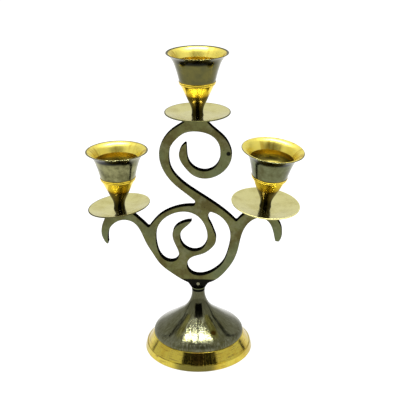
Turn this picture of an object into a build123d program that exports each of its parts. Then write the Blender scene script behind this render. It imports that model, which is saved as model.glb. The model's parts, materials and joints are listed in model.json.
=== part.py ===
from build123d import *
import math
import os

# Three-cup candle stand: a flat cast scroll frame on a bell base, with a drip plate and a
# turned candle cup on each of the frame's three crowns.
# Millimetres, +Z up, +X to the stand's right seen from the front (-Y).
# Origin: centre of the base's foot, on the surface that the stand rests on.

# ---- driving dimensions -------------------------------------------------------------------
stand_height = 220.0
cup_height = 42.9
frame_thickness = 5.5
frame_edge_radius = 0.35
frame_foot_z = 48.3       # where the frame's foot sits on the base's neck
crown_half_width = 4.5    # half of the flat that a drip plate rests on
sheet = 0.9               # drip plate thickness
plate_flat_radius = 12.0
plate_rise = 2.7          # flat middle of a plate up to its rim
candle_radius = 11.0

# foot: centre of the cup's foot (x, z). Leans are in degrees, to the right or to the front.
sides = {
    "left": dict(foot=(-55.3, 108.0), plate_lean=-7.5, cup_lean=-0.8, front_lean=0.0,
                 plate_radius=22.0, mouth_radius=21.6),
    "centre": dict(foot=(0.0, stand_height - cup_height), plate_lean=0.0, cup_lean=0.0,
                   front_lean=0.0, plate_radius=22.4, mouth_radius=21.0),
    "right": dict(foot=(46.9, 112.1), plate_lean=6.0, cup_lean=6.0, front_lean=4.5,
                  plate_radius=24.0, mouth_radius=21.6),
}

# fits: radial gaps
candle_gap = 0.12         # candle in its socket
slide_gap = 0.05          # stud in a cup's foot
plate_gap = 0.4           # stud in a drip plate's hole
fixed_gap = 0.02          # pins and studs that stay put

# candle cup
socket_floor = 23.6       # heights above the cup's foot
socket_top = 28.8
foot_face_trim = 0.8      # extra length that is faced off parallel to the drip plate

# cup studs
stud_radius = 1.5
stud_in_frame = 5.0
stud_above_plate = 7.0
stud_hole_spare = 0.5

# base
neck_radius = 4.7
dome_radius = 32.3
rim_top_z = 12.0
foot_radius = 38.9
foot_band_z = 1.6
inside_foot_radius = 36.9
washer_seat_z = 25.0
washer_seat_radius = 14.4

# tie rod, cross pin, washer and nut
rod_radius = 2.5
rod_gap = 0.1
rod_end_z = 18.4
tang_thickness = 2.0
tang_top_z = 54.2
tang_gap = 0.05
pin_radius = 1.3
pin_z = 51.2
washer_radius = 5.5
washer_thickness = 1.0
nut_height = 4.0
nut_across_flats = 8.0

os.makedirs("parts", exist_ok=True)


# ---- shared planes ------------------------------------------------------------------------
def seat_plane(foot, lean_right, lean_front):
    """The plane through a cup's foot centre, square to an axis with the given leans."""
    x, z = foot
    right = math.tan(math.radians(lean_right))
    front = math.tan(math.radians(lean_front))
    normal = Vector(right, -front, 1).normalized()
    across = Vector(0, 1, 0).cross(normal).normalized()
    return Plane(origin=(x, 0, z), x_dir=across, z_dir=normal)


def section_plane(seat):
    """The plane of a turned piece's section: local x is radial, local y is up the axis."""
    return Plane(origin=seat.origin, x_dir=seat.x_dir, z_dir=-seat.y_dir)


def turning_axis(seat):
    return Axis(seat.origin, seat.z_dir)


def write(piece, name):
    piece.part.label = name
    export_step(piece.part, f"parts/{name}.step")


plate_seats = {}
cup_seats = {}
for side, fit in sides.items():
    plate_seats[side] = seat_plane(fit["foot"], fit["plate_lean"], fit["front_lean"])
    cup_seats[side] = seat_plane(fit["foot"], fit["cup_lean"], fit["front_lean"])


def crown_end(side, step):
    """One end of a crown before its flat is cut: level with the top of the drip plate."""
    x, z = sides[side]["foot"]
    lean = math.radians(sides[side]["plate_lean"])
    reach = step * crown_half_width
    return (x + reach * math.cos(lean), z - reach * math.sin(lean))


# ---- scroll frame -------------------------------------------------------------------------
foot_half_width = 4.8
shoulder_x = 7.2
shoulder_z = 52.3
right_crotch = (26.9, 100.6)
left_crotch = (-34.8, 94.4)
top_curl_tip = (-7.7, 158)
inner_curl_low = (-4.9, 99.6)
inner_curl_tip = (-4.3, 100.3)
notch_top = (-1.9, 115.7)
notch_bottom = (-2.1, 112)
taper_top_z = 55.5
taper_half_width = 7.4
taper_depth = 0.85

with BuildPart() as scroll_frame:
    with BuildSketch(Plane.XZ.offset(-frame_thickness / 2)) as outline:
        with BuildLine():
            Line((-foot_half_width, frame_foot_z), (foot_half_width, frame_foot_z))
            Line((foot_half_width, frame_foot_z), (shoulder_x, shoulder_z))
            # right flank and the arch under the right arm
            Spline(
                (shoulder_x, shoulder_z), (13, 55.2), (20.5, 63), (25.5, 71), (28.5, 80), (30.6, 90),
                (33.5, 97), (38.5, 102.3), (44, 104), (49, 101.5), (52.5, 95), (54.4, 86.4),
            )
            Line((54.4, 86.4), (57, 86.1))
            # outside of the right hook, up to its crown
            Spline((57, 86.1), (59.1, 93.5), (58.3, 97.7), (56.3, 101.6), crown_end("right", 1))
            Line(crown_end("right", 1), crown_end("right", -1))
            Spline(crown_end("right", -1), (36.5, 109.3), (31.5, 105.6), right_crotch)
            # upper edge of the diagonal, then round the inside of the top scroll to its tip
            Spline(
                right_crotch, (19.8, 107.5), (9.7, 115.1), (-0.6, 122), (-8.5, 127.6),
                (-14.3, 133.1), (-18.4, 139.5), (-19.7, 147), (-18.5, 154.8), (-14, 161),
                (-9, 164.8), (-2, 166.2), (5, 165.3), (11, 162.3), (14.7, 157), (15.6, 151),
                (14.8, 145.6), (11.7, 140.7), (4.7, 137.9), (-2.4, 140.2), (-6.2, 145),
                (-7.3, 151.5), top_curl_tip,
            )
            # outside of the curl and of the top scroll
            Spline(
                top_curl_tip, (-11.4, 154.3), (-12.8, 149.5), (-11.3, 144), (-8, 139.3),
                (-3, 134.5), (5, 132.3), (12, 133.9), (18, 138), (22.2, 144), (23.5, 150),
                (22.5, 154.8), (19.8, 160.2), (14.3, 165.9), (8, 171.6), crown_end("centre", 1),
            )
            Line(crown_end("centre", 1), crown_end("centre", -1))
            # down the left of the top scroll and under the diagonal to the notch
            Spline(
                crown_end("centre", -1), (-10.5, 171.7), (-16.5, 167.7), (-22, 162.1),
                (-25.5, 155.5), (-26.4, 149), (-25.3, 142), (-22.3, 135.4), (-16.5, 128),
                (-10, 122.4), notch_top,
            )
            Line(notch_top, notch_bottom)
            # top of the left loop, then up the left arm
            Spline(
                notch_bottom, (-10.5, 111.4), (-18.5, 109), (-26.6, 104.2), (-32.1, 98.2),
                left_crotch,
            )
            Spline(left_crotch, (-38.7, 98.4), (-42.7, 102.2), crown_end("left", 1))
            Line(crown_end("left", 1), crown_end("left", -1))
            Spline(
                crown_end("left", -1), (-64.3, 102.8), (-66.8, 98.6), (-68.3, 93.5),
                (-68.4, 88.5), (-66.8, 84), (-65.1, 81.4),
            )
            Line((-65.1, 81.4), (-63.8, 81.6))
            # arch under the left arm and down the left flank
            Spline(
                (-63.8, 81.6), (-63.9, 88), (-62.6, 93), (-59, 97.4), (-52.5, 100), (-46, 98.5),
                (-41, 92.5), (-36.5, 82), (-32.5, 75), (-27.5, 67), (-18, 58.8), (-9, 53.1),
                (-shoulder_x, shoulder_z),
            )
            Line((-shoulder_x, shoulder_z), (-foot_half_width, frame_foot_z))
        make_face()
        # corner radii
        for (x, z), radius in (
            (right_crotch, 1), (left_crotch, 1), ((shoulder_x, shoulder_z), 2.5),
            ((-shoulder_x, shoulder_z), 2.5), (notch_top, 1.5), (notch_bottom, 1.5),
            (top_curl_tip, 0.7), ((54.4, 86.4), 1.1), ((57, 86.1), 1.1),
            ((-65.1, 81.4), 0.6), ((-63.8, 81.6), 0.6),
        ):
            fillet(outline.vertices().sort_by_distance((x, z, 0))[0], radius=radius)
        # the left loop's opening, which runs round the small curl inside it
        with BuildLine():
            Line(inner_curl_tip, inner_curl_low)
            Spline(
                inner_curl_low, (-8, 96.3), (-11.6, 92.4), (-12.7, 88.3), (-11.3, 82.4),
                (-7.4, 78.6), (-2.9, 77.3), (2.1, 78.7), (5.8, 83.6), (6.7, 89.5), (4.8, 97.5),
                (0, 104), (-5.5, 106.8), (-11.5, 107.2), (-20, 104.4), (-26.3, 98.8),
                (-29.5, 90.5), (-29.2, 80.5), (-27, 73.7), (-23.3, 69.7), (-19, 68.6),
                (-15.2, 70.2), (-13.6, 74), (-15.2, 80), (-17.6, 86.3), (-17.9, 91),
                (-16, 95.2), (-12, 98.3), (-8, 99.8), inner_curl_tip,
            )
        make_face(mode=Mode.SUBTRACT)
        # the right loop's opening
        with BuildLine():
            Spline(
                (9.5, 107.5), (15, 105), (20, 99.7), (22.6, 93), (22.7, 86.5), (20.9, 77),
                (17.6, 68.6), (12.7, 63.2), (7.2, 59.7), (0.8, 58.2), (-4.9, 59.9),
                (-7.8, 65.3), (-6, 71), (-2, 73.4), (4, 75.5), (9, 79.2), (12.3, 83.8),
                (12.8, 88), (11.2, 93.2), (9, 98.6), (7.2, 103.5),
                periodic=True,
            )
        make_face(mode=Mode.SUBTRACT)
    extrude(amount=frame_thickness)
    faces_front_and_back = scroll_frame.faces().filter_by(Axis.Y)
    fillet(faces_front_and_back.edges(), radius=frame_edge_radius)
    # each crown is filed flat where its drip plate rests
    for side, seat in plate_seats.items():
        with BuildSketch(seat.offset(-sheet)):
            Circle(2 * crown_half_width)
        extrude(amount=frame_thickness, mode=Mode.SUBTRACT)
        # tapped hole for the cup's stud
        with BuildSketch(cup_seats[side].offset(-sheet - stud_in_frame)):
            Circle(stud_radius + fixed_gap)
        extrude(amount=2 * stud_in_frame, mode=Mode.SUBTRACT)
    # the foot tapers towards the neck at the front and the back
    with BuildSketch(Plane.YZ.offset(-taper_half_width)):
        half = frame_thickness / 2
        for face in (-1, 1):
            with BuildLine():
                Polyline(
                    (face * half, taper_top_z),
                    (face * (half - taper_depth), frame_foot_z),
                    (face * 2 * half, frame_foot_z),
                    (face * 2 * half, taper_top_z),
                    close=True,
                )
            make_face()
    extrude(amount=2 * taper_half_width, mode=Mode.SUBTRACT)
    # slot for the tie rod's tang, and the hole of the cross pin
    with BuildSketch(Plane.XY.offset(frame_foot_z)):
        Rectangle(2 * (rod_radius + tang_gap), tang_thickness + 2 * tang_gap)
    extrude(amount=tang_top_z + tang_gap - frame_foot_z, mode=Mode.SUBTRACT)
    with BuildSketch(Plane.XZ.offset(-frame_thickness)):
        with Locations((0, pin_z)):
            Circle(pin_radius + fixed_gap)
    extrude(amount=2 * frame_thickness, mode=Mode.SUBTRACT)

write(scroll_frame, "scroll_frame")


# ---- base ---------------------------------------------------------------------------------
collar_radius = 4.9
collar_height = 1.2
groove_radius = 4.2
groove_height = 0.8
groove_step = 0.3
ledge_radius = 37.0
ledge_z = 4.6
ledge_width = 0.8
rod_hole_radius = rod_radius + rod_gap
dome_foot = (dome_radius, rim_top_z + 0.4)
hollow_edge = (30.2, 11.0)

with BuildPart() as base:
    with BuildSketch(Plane.XZ):
        with BuildLine():
            collar_z = frame_foot_z - collar_height
            neck_z = collar_z - groove_height
            Polyline(
                (rod_hole_radius, frame_foot_z),
                (collar_radius, frame_foot_z),
                (collar_radius, collar_z),
                (groove_radius, collar_z),
                (groove_radius, neck_z),
                (neck_radius, neck_z),
            )
            # trumpet from the neck to the dome's shoulder
            Spline(
                (neck_radius, neck_z), (4.75, 43), (5.3, 40), (6.4, 37), (8.3, 33.7), (10.9, 30.7),
                (14.5, 27.8), (19, 24.5), (24, 21), (28, 18.3), (30.5, 16.4), (31.9, 14.7),
                dome_foot,
            )
            # a fine groove, the sloping rim, a narrow ledge and the foot's band
            Polyline(
                dome_foot,
                (dome_radius - groove_step, rim_top_z),
                (dome_radius + groove_step, rim_top_z - groove_step),
                (ledge_radius, ledge_z),
                (ledge_radius + ledge_width, ledge_z - groove_step),
                (foot_radius - groove_step, foot_band_z),
                (foot_radius, 2 * groove_step),
                (foot_radius - 2 * groove_step, 0),
                (inside_foot_radius, 0),
                (inside_foot_radius - groove_step, foot_band_z),
                hollow_edge,
            )
            # the hollow inside, up to the washer's seat
            Spline(
                hollow_edge, (29.2, 14.4), (24, 18.4), (19, 21.8),
                (washer_seat_radius, washer_seat_z),
            )
            Polyline(
                (washer_seat_radius, washer_seat_z),
                (rod_hole_radius, washer_seat_z),
                (rod_hole_radius, frame_foot_z),
            )
        make_face()
    revolve(axis=Axis.Z)

write(base, "base")


# ---- tie rod, cross pin, washer and nut ---------------------------------------------------
rod_chamfer = 0.5
pin_chamfer = 0.3
washer_hole_radius = 2.7

with BuildPart() as tie_rod:
    with BuildSketch(Plane.XY.offset(rod_end_z)):
        Circle(rod_radius)
    extrude(amount=tang_top_z - rod_end_z)
    chamfer(tie_rod.edges().filter_by(GeomType.CIRCLE).sort_by(Axis.Z)[0], length=rod_chamfer)
    # two flats make the tang that enters the frame's foot
    with BuildSketch(Plane.XY.offset(frame_foot_z)):
        for face in (-1, 1):
            with Locations((0, face * (tang_thickness / 2 + rod_radius))):
                Rectangle(4 * rod_radius, 2 * rod_radius)
    extrude(amount=tang_top_z - frame_foot_z, mode=Mode.SUBTRACT)
    with BuildSketch(Plane.XZ.offset(-rod_radius)):
        with Locations((0, pin_z)):
            Circle(pin_radius + fixed_gap)
    extrude(amount=2 * rod_radius, mode=Mode.SUBTRACT)

write(tie_rod, "tie_rod")

with BuildPart() as foot_pin:
    with BuildSketch(Plane.XZ.offset(-frame_thickness / 2)):
        with Locations((0, pin_z)):
            Circle(pin_radius)
    extrude(amount=frame_thickness)
    chamfer(foot_pin.edges().filter_by(GeomType.CIRCLE), length=pin_chamfer)

write(foot_pin, "foot_pin")

with BuildPart() as base_washer:
    with BuildSketch(Plane.XY.offset(washer_seat_z - washer_thickness)):
        Circle(washer_radius)
        Circle(washer_hole_radius, mode=Mode.SUBTRACT)
    extrude(amount=washer_thickness)

write(base_washer, "base_washer")

nut_top_z = washer_seat_z - washer_thickness
nut_bottom_z = nut_top_z - nut_height
nut_chamfer = 0.5

with BuildPart() as base_nut:
    with BuildSketch(Plane.XY.offset(nut_bottom_z)):
        RegularPolygon(radius=nut_across_flats / 2, side_count=6, major_radius=False)
        Circle(rod_radius + fixed_gap, mode=Mode.SUBTRACT)
    extrude(amount=nut_height)
    # turned chamfer on the hexagon's lower corners
    corner_radius = nut_across_flats / math.sqrt(3)
    with BuildSketch(Plane.XZ):
        with BuildLine():
            Polyline(
                (0, nut_bottom_z),
                (nut_across_flats / 2, nut_bottom_z),
                (corner_radius, nut_bottom_z + nut_chamfer),
                (corner_radius, nut_top_z),
                (0, nut_top_z),
                close=True,
            )
        make_face()
    revolve(axis=Axis.Z, mode=Mode.INTERSECT)

write(base_nut, "base_nut")


# ---- cup studs ----------------------------------------------------------------------------
def make_stud(seat):
    with BuildPart() as stud:
        with BuildSketch(seat.offset(-sheet - stud_in_frame)):
            Circle(stud_radius)
        extrude(amount=stud_in_frame + sheet + stud_above_plate)
        chamfer(stud.edges().filter_by(GeomType.CIRCLE), length=pin_chamfer)
    return stud


# ---- drip plates --------------------------------------------------------------------------
plate_bend_radius = 10.0
plate_edge_radius = 0.4


def make_drip_plate(seat, radius):
    hole = stud_radius + plate_gap
    with BuildPart() as plate:
        with BuildSketch(section_plane(seat)) as section:
            with BuildLine():
                Polyline(
                    (hole, 0),
                    (plate_flat_radius, 0),
                    (radius, plate_rise),
                    (radius, plate_rise - sheet),
                    (plate_flat_radius, -sheet),
                    (hole, -sheet),
                    close=True,
                )
            make_face()
            bend = section.vertices().filter_by_position(Axis.X, hole + 1, radius - 1)
            fillet(bend, radius=plate_bend_radius)
            rim = section.vertices().group_by(Axis.X)[-1]
            fillet(rim, radius=plate_edge_radius)
        revolve(axis=turning_axis(seat))
    return plate


# ---- candle cups --------------------------------------------------------------------------
stem_foot_radius = 4.15
stem_foot_height = 0.3
bead_low = (11.45, 21.4)
bead_mid = (11.95, 22.7)
bead_top = (12.25, 24.0)
bead_stand = 0.45         # how far each bead stands out from the bowl
mouth_drop = 0.3          # the rounded lip: down and in from its crest
mouth_inset = 0.5
throat = (14.9, 36.5)
socket_radius = candle_radius + candle_gap


def make_cup(cup_seat, plate_seat, mouth_radius):
    lip = (mouth_radius, cup_height - mouth_drop)
    crest = (mouth_radius - mouth_inset, cup_height)
    with BuildPart() as cup:
        with BuildSketch(section_plane(cup_seat)):
            with BuildLine():
                Line((0, -foot_face_trim), (stem_foot_radius, -foot_face_trim))
                Line((stem_foot_radius, -foot_face_trim), (stem_foot_radius, stem_foot_height))
                # waisted stem and the lower half of the bowl
                Spline(
                    (stem_foot_radius, stem_foot_height), (3.85, 2.8), (4.3, 5.6), (5.95, 9.5),
                    (8.2, 14.3), (9.8, 17.8), bead_low,
                )
                ThreePointArc(bead_low, bead_bulge(bead_low, bead_mid), bead_mid)
                ThreePointArc(bead_mid, bead_bulge(bead_mid, bead_top), bead_top)
                # upper half of the bowl, flaring out to the mouth
                Spline(
                    bead_top, (13.2, 28), (14, 31), (14.95, 34), (15.9, 36.6), (17.2, 39),
                    (18.8, 41), lip,
                )
                TangentArc(crest, lip, tangent=(1, 0))
                # inside of the flare down to the throat, then the bowl's wall down to the socket
                Spline(crest, (17.9, 41.2), (16.3, 39), throat)
                Spline(throat, (14.3, 33.5), (13.3, 31), (socket_radius, socket_top))
                Polyline(
                    (socket_radius, socket_top),
                    (socket_radius, socket_floor),
                    (0, socket_floor),
                    (0, -foot_face_trim),
                )
            make_face()
        revolve(axis=turning_axis(cup_seat))
        # the foot is faced off to sit flat on its drip plate
        split(bisect_by=plate_seat, keep=Keep.TOP)
        # tapped hole for the stud
        with BuildSketch(cup_seat.offset(-foot_face_trim)):
            Circle(stud_radius + slide_gap)
        extrude(amount=foot_face_trim + stud_above_plate + stud_hole_spare, mode=Mode.SUBTRACT)
    return cup


def bead_bulge(low, high):
    """The outermost point of a bead that runs from low to high."""
    length = math.dist(low, high)
    out = ((high[1] - low[1]) / length, (low[0] - high[0]) / length)
    middle = ((low[0] + high[0]) / 2, (low[1] + high[1]) / 2)
    return (middle[0] + bead_stand * out[0], middle[1] + bead_stand * out[1])


for side, fit in sides.items():
    write(make_stud(cup_seats[side]), f"cup_stud_{side}")
    write(make_drip_plate(plate_seats[side], fit["plate_radius"]), f"drip_plate_{side}")
    cup = make_cup(cup_seats[side], plate_seats[side], fit["mouth_radius"])
    write(cup, f"candle_cup_{side}")
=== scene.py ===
import json
import math

import bpy
from mathutils import Matrix, Vector

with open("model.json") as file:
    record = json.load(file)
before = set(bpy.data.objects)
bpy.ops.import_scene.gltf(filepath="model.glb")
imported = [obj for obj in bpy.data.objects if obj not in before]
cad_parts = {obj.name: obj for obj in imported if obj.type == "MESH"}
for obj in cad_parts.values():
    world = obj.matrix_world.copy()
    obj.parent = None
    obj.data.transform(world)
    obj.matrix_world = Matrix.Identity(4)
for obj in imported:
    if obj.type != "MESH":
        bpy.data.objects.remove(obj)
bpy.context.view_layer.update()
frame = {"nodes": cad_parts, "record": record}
nodes = frame["nodes"]
mounts = {m["name"]: m for m in frame["record"]["mounts"]}
sides = ("left", "centre", "right")


# ---- camera: 4 degrees to the right of the front, looking down 22 degrees ------------------
camera_azimuth = math.radians(4)
camera_distance = 0.6138
camera_height = 0.3645
camera_pitch = math.radians(22.09)
camera_yaw = math.radians(0.134)
camera_roll = math.radians(-0.229)


def aim_camera(camera):
    ahead = Vector((-math.sin(camera_azimuth), math.cos(camera_azimuth), 0))
    across = Vector((math.cos(camera_azimuth), math.sin(camera_azimuth), 0))
    up = Vector((0, 0, 1))
    level = ahead * math.cos(camera_yaw) + across * math.sin(camera_yaw)
    right = across * math.cos(camera_yaw) - ahead * math.sin(camera_yaw)
    forward = level * math.cos(camera_pitch) - up * math.sin(camera_pitch)
    top = level * math.sin(camera_pitch) + up * math.cos(camera_pitch)
    rolled_right = right * math.cos(camera_roll) + top * math.sin(camera_roll)
    rolled_top = top * math.cos(camera_roll) - right * math.sin(camera_roll)
    place = Matrix((rolled_right, rolled_top, -forward)).transposed().to_4x4()
    place.translation = -ahead * camera_distance + up * camera_height
    camera.matrix_world = place


camera_data = bpy.data.cameras.new("camera")
camera_data.sensor_width = 36
camera_data.lens = 85.5
camera_data.clip_start = 0.01
camera = bpy.data.objects.new("camera", camera_data)
bpy.context.collection.objects.link(camera)
aim_camera(camera)
bpy.context.scene.camera = camera
bpy.context.scene.view_settings.view_transform = "Standard"


# ---- node helpers --------------------------------------------------------------------------
class Tree:
    """Builds a node tree: a value given to a node is either a constant or another node's socket."""

    def __init__(self, tree):
        self.tree = tree
        tree.nodes.clear()

    def node(self, kind, inputs=None, output=0, **settings):
        made = self.tree.nodes.new(kind)
        for key, value in settings.items():
            setattr(made, key, value)
        for key, value in (inputs or {}).items():
            self.put(made.inputs[key], value)
        return made.outputs[output] if made.outputs else made

    def put(self, socket, value):
        if isinstance(value, bpy.types.NodeSocket):
            self.tree.links.new(value, socket)
        else:
            socket.default_value = value

    def math(self, operation, a, b=0.0, clamp=False):
        return self.node("ShaderNodeMath", {0: a, 1: b}, operation=operation, use_clamp=clamp)

    def vector(self, operation, a, b, output=0):
        return self.node("ShaderNodeVectorMath", {0: a, 1: b}, output, operation=operation)

    def step(self, value, low, high):
        """0 below low, 1 above high, smooth between."""
        return self.node(
            "ShaderNodeMapRange", {0: value, 1: low, 2: high, 3: 0.0, 4: 1.0},
            interpolation_type="SMOOTHSTEP",
        )

    def span(self, value, low, high, low_out, high_out):
        return self.node("ShaderNodeMapRange", {0: value, 1: low, 2: high, 3: low_out, 4: high_out})

    def mix(self, factor, a, b):
        return self.node("ShaderNodeMix", {0: factor, 6: a, 7: b}, 2, data_type="RGBA")

    def multiply(self, factor, a, b):
        return self.node("ShaderNodeMix", {0: factor, 6: a, 7: b}, 2, data_type="RGBA", blend_type="MULTIPLY")

    def noise(self, where, scale, detail=3.0, rough=0.55):
        return self.node(
            "ShaderNodeTexNoise", {"Vector": where, "Scale": scale, "Detail": detail, "Roughness": rough})

    def axes(self, vector):
        split = self.tree.nodes.new("ShaderNodeSeparateXYZ")
        self.put(split.inputs[0], vector)
        return split.outputs

    def join(self, x, y, z):
        return self.node("ShaderNodeCombineXYZ", {0: x, 1: y, 2: z})


def colour(red, green, blue):
    return (red, green, blue, 1.0)


def start_material(name):
    material = bpy.data.materials.new(name)
    material.use_nodes = True
    tree = Tree(material.node_tree)
    place = tree.tree.nodes.new("ShaderNodeTexCoord")
    return material, tree, place.outputs["Object"], place.outputs["Normal"]


def finish_material(tree, base, roughness, height, bump=0.2, bump_distance=0.0002, edge_tint=1.0):
    """Bare or coated metal."""
    bumped = tree.node("ShaderNodeBump", {"Height": height, "Strength": bump, "Distance": bump_distance})
    shader = tree.node(
        "ShaderNodeBsdfPrincipled",
        {
            "Base Color": base, "Metallic": 1.0, "Roughness": roughness, "Normal": bumped,
            "Specular Tint": colour(edge_tint, edge_tint, edge_tint),
        },
    )
    tree.node("ShaderNodeOutputMaterial", {0: shader})


def wear(node, material):
    mesh = nodes[node].data
    mesh.materials.clear()
    mesh.materials.append(material)


# ---- colours -------------------------------------------------------------------------------
gold = colour(0.86, 0.64, 0.06)
inner_gold = colour(0.9, 0.77, 0.16)
deep_gold = colour(0.42, 0.26, 0.02)
socket_brown = colour(0.16, 0.135, 0.03)
pale_gold = colour(0.8, 0.75, 0.34)
dark_coat = colour(0.082, 0.08, 0.032)
olive = colour(0.118, 0.118, 0.042)
brown = colour(0.088, 0.076, 0.026)
green_grey = colour(0.115, 0.13, 0.06)
pale_olive = colour(0.165, 0.165, 0.085)
pit_dark = colour(0.028, 0.026, 0.014)
rim_gold = colour(0.6, 0.49, 0.075)
rim_amber = colour(0.5, 0.33, 0.03)
rim_brown = colour(0.27, 0.19, 0.045)
stain_brown = colour(0.04, 0.024, 0.006)
dome_grey = colour(0.19, 0.195, 0.13)
# painted dark reflection on the front of the base's foot band
foot_band_reflection_dark = colour(0.13, 0.115, 0.03)
# painted reflection on the front of the base's rim
rim_reflection_red = colour(0.62, 0.27, 0.07)
cast_brass = colour(0.3, 0.23, 0.085)
cast_brown = colour(0.17, 0.125, 0.045)
black = colour(0.008, 0.008, 0.006)
# the stem's two colours are painted dark reflections
stem_reflection_black = colour(0.03, 0.025, 0.008)
stem_reflection_brown = colour(0.11, 0.08, 0.018)
# a painted dark reflection on the left drip plate's rim
plate_rim_reflection_dark = colour(0.09, 0.085, 0.03)
plate_spot = colour(0.66, 0.6, 0.24)
dome_olive = colour(0.13, 0.13, 0.08)
steel_dark = colour(0.12, 0.12, 0.07)
steel_light = colour(0.26, 0.25, 0.16)


# ---- places on the pieces, in metres ---------------------------------------------------------
# heights above a cup's foot
socket_middle = 0.0262
band_bottom = 0.0137
band_top = 0.0239
bead_grooves = (0.0213, 0.0227, band_top)
throat = 0.0325
flare_bottom = 0.0362
# heights above the floor
foot_band_top = 0.0042
rim_top = 0.0119
neck_groove_bottom = 0.0455
neck_groove_top = 0.0476
frame_foot_top = 0.0546
# centres of single marks
casting_pit = (0.0212, -0.00275, 0.1508)
dome_stain = (0.0122, -0.0200, 0.0213)
# the centre of a painted reflection on the front of the rim
rim_reflection_centre = (0.0015, -0.0345, 0.0085)


# ---- frame: dark oxidised casting, ground front and back, black sides -----------------------
def frame_material():
    material, tree, where, normal = start_material("oxidised_casting")
    facing = tree.math("ABSOLUTE", tree.axes(normal)[1])
    high = tree.axes(where)[2]
    blotches = tree.noise(where, 75.0, 5.0, 0.62)
    patches = tree.noise(tree.vector("ADD", where, (3.1, 1.7, 0.4)), 30.0, 3.0, 0.5)
    clouds = tree.noise(tree.vector("ADD", where, (0.7, 5.2, 2.9)), 170.0, 3.0, 0.6)
    fine = tree.noise(where, 700.0, 4.0, 0.7)
    base = tree.mix(tree.step(blotches, 0.42, 0.6), olive, brown)
    base = tree.mix(tree.step(patches, 0.46, 0.64), base, green_grey)
    base = tree.mix(tree.math("MULTIPLY", tree.step(clouds, 0.5, 0.7), 0.6), base, pale_olive)
    # fine dark pits
    base = tree.mix(tree.step(fine, 0.6, 0.7), base, pit_dark)
    # a casting pit on the front of the top scroll's right side
    pit = tree.vector("DISTANCE", where, casting_pit, 1)
    base = tree.mix(tree.step(pit, 0.0012, 0.0018), black, base)
    # the sides and the foot are black
    base = tree.mix(tree.step(facing, 0.75, 0.99), black, base)
    foot = tree.math("SUBTRACT", 1.0, tree.step(high, frame_foot_top, 0.0556))
    base = tree.mix(foot, base, black)
    rough = tree.span(blotches, 0.3, 0.7, 0.3, 0.46)
    rough = tree.node("ShaderNodeMapRange", {0: facing, 1: 0.4, 2: 0.8, 3: 0.6, 4: rough})
    scratches = tree.noise(tree.vector("MULTIPLY", where, (1.0, 1.0, 9.0)), 260.0, 3.0, 0.6)
    height = tree.math("ADD", fine, scratches)
    finish_material(tree, base, rough, height, bump=0.3, bump_distance=0.0001, edge_tint=0.15)
    return material


# ---- turned pieces: bands by height, streaks round the axis ---------------------------------
def turned_places(tree, where, normal, foot, axis):
    """Height above the foot, distance from the axis, how far the surface faces outward, and a
    place whose noise runs round the axis."""
    offset = tree.vector("SUBTRACT", where, foot)
    height = tree.vector("DOT_PRODUCT", offset, axis, 1)
    along = tree.node("ShaderNodeVectorMath", {0: axis, "Scale": height}, operation="SCALE")
    radial = tree.vector("SUBTRACT", offset, along)
    radius = tree.node("ShaderNodeVectorMath", {0: radial}, 1, operation="LENGTH")
    direction = tree.node("ShaderNodeVectorMath", {0: radial}, operation="NORMALIZE")
    outward = tree.vector("DOT_PRODUCT", direction, normal, 1)
    parts = tree.axes(direction)
    streak = tree.join(
        tree.math("MULTIPLY", parts[0], 0.004), tree.math("MULTIPLY", parts[1], 0.004),
        tree.math("SUBTRACT", height, radius))
    return height, radius, outward, streak


# lip: where the dark coat starts inside the mouth, up the cup. The right cup's lip is polished.
# plate rim colours are painted reflections on each drip plate's sloping wall and edge
finish = {
    "left": dict(coat=colour(0.25, 0.245, 0.115), lip=0.04262, plate_rim_painted_reflection=plate_rim_reflection_dark),
    "centre": dict(coat=colour(0.12, 0.11, 0.034), lip=0.0423, plate_rim_painted_reflection=olive),
    "right": dict(coat=colour(0.15, 0.165, 0.085), lip=0.05, plate_rim_painted_reflection=pale_gold),
}


def groove(tree, value, middle, half_width):
    """1 on a fine turned line at middle, 0 away from it."""
    distance = tree.math("ABSOLUTE", tree.math("SUBTRACT", value, middle))
    return tree.math("SUBTRACT", 1.0, tree.step(distance, 0.3 * half_width, half_width))


def cup_foot(side):
    """The middle of a cup's foot, and the cup's axis."""
    mount = mounts[f"candle_socket_{side}"]
    axis = Vector(mount["axis"])
    return Vector(mount["pos_m"]) - axis * socket_middle, axis


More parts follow.
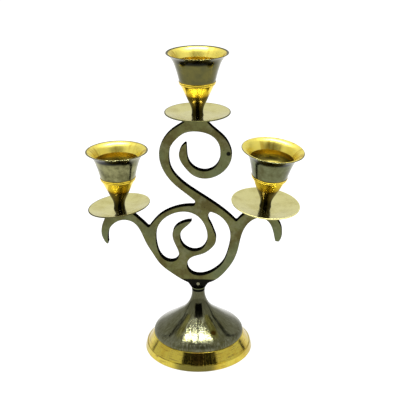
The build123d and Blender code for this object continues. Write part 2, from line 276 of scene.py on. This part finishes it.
def cup_material(side):
    foot, axis = cup_foot(side)
    material, tree, where, normal = start_material(f"turned_cup_{side}")
    height, _, outward, streak = turned_places(tree, where, normal, foot, axis)
    mottle = tree.noise(where, 130.0, 4.0, 0.6)
    lines = tree.noise(streak, 1400.0, 3.0, 0.6)
    # the socket's level floor counts as inside
    inside = tree.math("SUBTRACT", 1.0, tree.step(outward, 0.08, 0.2))
    coat = tree.mix(tree.step(mottle, 0.3, 0.66), dark_coat, finish[side]["coat"])
    # painted dark reflection: the coat is painted nearly black under the front of the lip
    under_lip_painted_dark = tree.math(
        "MULTIPLY", tree.step(height, 0.0364, 0.0386),
        tree.math("SUBTRACT", 1.0, tree.step(height, 0.0412, 0.0422)))
    front = tree.step(tree.axes(normal)[1], -0.35, -0.75)
    coat = tree.mix(tree.math("MULTIPLY", under_lip_painted_dark, front), coat, black)
    # polished band: brown at its lower edge, a painted dark reflection, and a fine dark line each side of the
    # two beads
    band = tree.mix(tree.step(height, 0.0142, 0.0172), deep_gold, gold)
    for bead_edge in bead_grooves:
        band = tree.mix(groove(tree, height, bead_edge, 0.0003), band, rim_brown)
    # the stem is painted dark for the dark reflections it shows: brown towards the band and nearly black at
    # its foot
    stem_painted_reflection = tree.mix(tree.step(height, 0.003, 0.010), stem_reflection_black, stem_reflection_brown)
    outer = tree.mix(tree.step(height, band_bottom, 0.0146), stem_painted_reflection, band)
    outer = tree.mix(tree.step(height, band_top, 0.0242), outer, coat)
    inner = tree.mix(tree.step(height, throat, 0.0345), socket_brown, deep_gold)
    # amber streaks running down the flare: painted dark seams of reflection inside the mouth
    from_foot = tree.vector("SUBTRACT", where, foot)
    round_axis = tree.node("ShaderNodeVectorMath", {0: from_foot}, operation="NORMALIZE")
    flare_painted_seams = tree.noise(tree.vector("MULTIPLY", round_axis, (1, 1, 0.1)), 5.0, 2.0, 0.6)
    flare = tree.mix(tree.math("MULTIPLY", tree.step(flare_painted_seams, 0.54, 0.64), 0.7), inner_gold, rim_amber)
    inner = tree.mix(tree.step(height, flare_bottom, 0.0366), inner, flare)
    # the lip keeps the dark coat over its rounded edge
    lip = finish[side]["lip"]
    inner = tree.mix(tree.step(height, lip, lip + 0.0003), inner, dark_coat)
    base = tree.mix(inside, outer, inner)
    rough = tree.span(lines, 0.3, 0.7, 0.12, 0.2)
    rough = tree.node("ShaderNodeMapRange", {0: inside, 1: 0.0, 2: 1.0, 3: rough, 4: 0.38})
    soft = tree.noise(where, 60.0, 1.0, 0.5)
    relief = tree.math("ADD", tree.math("MULTIPLY", lines, 0.08), soft)
    finish_material(tree, base, rough, relief, bump=0.03)
    return material


def farthest_from(node, foot, axis):
    """The largest distance of a CAD node's surface from an axis."""
    matrix = nodes[node].matrix_world
    offsets = [matrix @ vertex.co - foot for vertex in nodes[node].data.vertices]
    return max((offset - axis * offset.dot(axis)).length for offset in offsets)


def plate_material(side):
    foot, axis = cup_foot(side)
    rim = farthest_from(f"drip_plate_{side}", foot, axis)
    material, tree, where, normal = start_material(f"drip_plate_{side}")
    _, radius, _, streak = turned_places(tree, where, normal, foot, axis)
    mottle = tree.noise(where, 110.0, 4.0, 0.6)
    lines = tree.noise(streak, 700.0, 1.0, 0.5)
    base = tree.mix(tree.step(mottle, 0.4, 0.7), pale_gold, plate_spot)
    # painted reflection: the dish's sloping wall and its edge take each side's plate rim colour
    level = tree.math("ABSOLUTE", tree.vector("DOT_PRODUCT", normal, axis, 1))
    base = tree.mix(tree.step(level, 0.6, 0.85), finish[side]["plate_rim_painted_reflection"], base)
    edge = tree.step(radius, rim - 0.0009, rim - 0.0004)
    base = tree.mix(edge, base, finish[side]["plate_rim_painted_reflection"])
    rough = tree.span(lines, 0.3, 0.7, 0.16, 0.24)
    rough = tree.node("ShaderNodeMapRange", {0: edge, 1: 0.0, 2: 1.0, 3: rough, 4: 0.5})
    soft = tree.noise(where, 80.0, 1.0, 0.5)
    finish_material(tree, base, rough, tree.math("ADD", lines, soft), bump=0.05)
    return material


def base_material():
    material, tree, where, normal = start_material("turned_base")
    height, _, outward, streak = turned_places(
        tree, where, normal, Vector((0, 0, 0)), Vector((0, 0, 1)))
    mottle = tree.noise(where, 70.0, 5.0, 0.65)
    lines = tree.noise(streak, 900.0, 4.0, 0.65)
    # wiping marks run down the dome's slope
    level_place = tree.vector("MULTIPLY", where, (1, 1, 0))
    round_axis = tree.axes(tree.node("ShaderNodeVectorMath", {0: level_place}, operation="NORMALIZE"))
    downhill = tree.join(round_axis[0], round_axis[1], tree.math("MULTIPLY", height, 12.0))
    wiped = tree.noise(downhill, 34.0, 3.0, 0.7)
    coat = tree.mix(tree.step(mottle, 0.42, 0.72), dark_coat, dome_olive)
    coat = tree.mix(tree.math("MULTIPLY", tree.step(wiped, 0.44, 0.64), 0.8), coat, dome_grey)
    # the neck is darker than the dome
    coat = tree.mix(tree.math("MULTIPLY", tree.step(height, 0.029, 0.037), 0.4), coat, pit_dark)
    # a small brown stain where the coat is worn through
    from_stain = tree.vector("DISTANCE", where, dome_stain, 1)
    ragged = tree.math("ADD", from_stain, tree.math("MULTIPLY", tree.math("SUBTRACT", mottle, 0.5), 0.004))
    coat = tree.mix(tree.step(ragged, 0.0013, 0.0021), stain_brown, coat)
    rim = tree.mix(tree.step(lines, 0.52, 0.66), rim_gold, rim_brown)
    rim = tree.mix(tree.math("MULTIPLY", tree.step(mottle, 0.46, 0.6), 0.5), rim, rim_amber)
    # short scratches run down the rim
    scratches = tree.noise(tree.join(round_axis[0], round_axis[1], 0.0), 60.0, 3.0, 0.7)
    rim = tree.mix(tree.math("MULTIPLY", tree.step(scratches, 0.52, 0.64), 0.35), rim, rim_brown)
    across, depth, _ = tree.axes(where)
    # the front of the rim is painted reddish brown, a painted reflection where the rim faces the camera
    red_place = tree.vector("DISTANCE", where, rim_reflection_centre, 1)
    rim_painted_reflection = tree.math("MULTIPLY", tree.math("SUBTRACT", 1.0, tree.step(red_place, 0.001, 0.008)), 0.45)
    rim = tree.mix(rim_painted_reflection, rim, rim_reflection_red)
    # the foot's band is painted dark at the front, a painted dark reflection
    low_band = tree.math("SUBTRACT", 1.0, tree.step(height, foot_band_top, 0.0047))
    front = tree.math("MULTIPLY", tree.step(depth, 0.0, -0.01), tree.math(
        "SUBTRACT", 1.0, tree.step(tree.math("ABSOLUTE", across), 0.010, 0.018)))
    foot_band_painted_dark = tree.math("MULTIPLY", low_band, tree.math("MULTIPLY", front, 0.85))
    rim = tree.mix(foot_band_painted_dark, rim, foot_band_reflection_dark)
    base = tree.mix(tree.step(height, rim_top, 0.0122), rim, coat)
    # painted shade: black in the groove; bare olive on the collar above it
    base = tree.mix(tree.step(height, neck_groove_bottom, 0.0458), base, black)
    base = tree.mix(tree.step(height, neck_groove_top, 0.0479), base, green_grey)
    # the hollow underneath is left as it was cast
    hollow = tree.math("SUBTRACT", 1.0, tree.step(outward, -0.1, 0.0))
    base = tree.mix(hollow, base, tree.mix(tree.step(mottle, 0.35, 0.65), cast_brass, cast_brown))
    rough = tree.span(lines, 0.3, 0.7, 0.05, 0.1)
    rough = tree.math("ADD", rough, tree.span(wiped, 0.4, 0.7, 0.0, 0.1))
    # the rim's scratches are dull, and so is the dome's rounded shoulder
    on_rim = tree.math("SUBTRACT", 1.0, tree.step(height, rim_top, 0.0121))
    dull = tree.math("MULTIPLY", on_rim, tree.span(scratches, 0.45, 0.7, 0.0, 0.17))
    rough = tree.math("ADD", rough, dull)
    shoulder = tree.math("MULTIPLY", tree.step(height, 0.0120, 0.0122), tree.math(
        "SUBTRACT", 1.0, tree.step(height, 0.0148, 0.0180)))
    rough = tree.math("ADD", rough, tree.math("MULTIPLY", shoulder, 0.34))
    rough = tree.math("ADD", rough, tree.math("MULTIPLY", hollow, 0.45))
    relief = tree.math("ADD", lines, tree.math("MULTIPLY", mottle, 0.6))
    relief = tree.math("ADD", relief, tree.math("MULTIPLY", wiped, 0.5))
    finish_material(tree, base, rough, relief, bump=0.12)
    return material


def steel_material():
    material, tree, where, _ = start_material("fasteners")
    mottle = tree.noise(where, 300.0, 4.0, 0.6)
    base = tree.mix(mottle, steel_dark, steel_light)
    finish_material(tree, base, tree.span(mottle, 0.3, 0.7, 0.3, 0.5), mottle, bump=0.2)
    return material


wear("scroll_frame", frame_material())
wear("base", base_material())
steel = steel_material()
for name in ("tie_rod", "foot_pin", "base_washer", "base_nut"):
    wear(name, steel)
for side in sides:
    wear(f"cup_stud_{side}", steel)
    wear(f"candle_cup_{side}", cup_material(side))
    wear(f"drip_plate_{side}", plate_material(side))


# ---- floor and light -----------------------------------------------------------------------
def make_floor():
    half = 3.0
    mesh = bpy.data.meshes.new("floor")
    corners = [(-half, -half, 0), (half, -half, 0), (half, half, 0), (-half, half, 0)]
    mesh.from_pydata(corners, [], [(0, 1, 2, 3)])
    floor = bpy.data.objects.new("floor", mesh)
    bpy.context.collection.objects.link(floor)
    material, tree, _, _ = start_material("pale_floor")
    diffuse = tree.node("ShaderNodeBsdfDiffuse", {"Color": colour(0.25, 0.25, 0.25)})
    glow = tree.node("ShaderNodeEmission", {"Color": colour(1, 1, 1), "Strength": 0.85})
    tree.node("ShaderNodeOutputMaterial", {0: tree.node("ShaderNodeAddShader", {0: diffuse, 1: glow})})
    mesh.materials.append(material)


def make_world():
    """The white walls of a light tent."""
    world = bpy.data.worlds.new("light_tent")
    bpy.context.scene.world = world
    world.use_nodes = True
    tree = Tree(world.node_tree)
    seen = tree.node("ShaderNodeLightPath", output=0)
    tent = tree.mix(seen, colour(0.8, 0.8, 0.78), colour(1, 1, 1))
    tree.node("ShaderNodeOutputWorld", {0: tree.node("ShaderNodeBackground", {0: tent, 1: 1.0})})


def make_card(name, *corners):
    """A dark card that only reflections see."""
    mesh = bpy.data.meshes.new(name)
    mesh.from_pydata(corners, [], [(0, 1, 2, 3)])
    card = bpy.data.objects.new(name, mesh)
    bpy.context.collection.objects.link(card)
    material, tree, _, _ = start_material(name)
    dark = tree.node("ShaderNodeBsdfDiffuse", {"Color": colour(0.01, 0.01, 0.01)})
    tree.node("ShaderNodeOutputMaterial", {0: dark})
    mesh.materials.append(material)
    card.visible_camera = False
    card.visible_shadow = False
    card.visible_diffuse = False


def make_lamp(name, place, size, turn, power):
    """An overhead strip that faces straight down, turned about the vertical."""
    data = bpy.data.lights.new(name, "AREA")
    data.shape = "RECTANGLE"
    data.size, data.size_y = size
    data.energy = power
    lamp = bpy.data.objects.new(name, data)
    lamp.location = place
    lamp.rotation_euler = (0, 0, math.radians(turn))
    bpy.context.collection.objects.link(lamp)


make_floor()
make_world()
make_card(
    "tent_opening", (-0.38, -0.55, 0.23), (0.56, -0.55, 0.23), (0.56, -0.55, 0.94), (-0.38, -0.55, 0.94))
make_card(
    "tent_opening_top", (-0.38, -0.55, 0.94), (0.56, -0.55, 0.94), (0.33, -0.27, 1.2), (-0.28, -0.27, 1.2))
make_card(
    "tent_pole_left", (-0.58, 0.175, 0.02), (-0.56, 0.225, 0.02), (-0.56, 0.225, 0.7),
    (-0.58, 0.175, 0.7))
make_card(
    "tent_pole_right", (0.515, 0.315, 0.02), (0.55, 0.245, 0.02), (0.55, 0.245, 0.7),
    (0.515, 0.315, 0.7))
make_lamp("lamp_left", (-0.27, -0.102, 1.2), (0.43, 0.09), -14.7, 7.0)
make_lamp("lamp_right", (0.24, -0.08, 1.2), (0.44, 0.09), 19.8, 7.0)
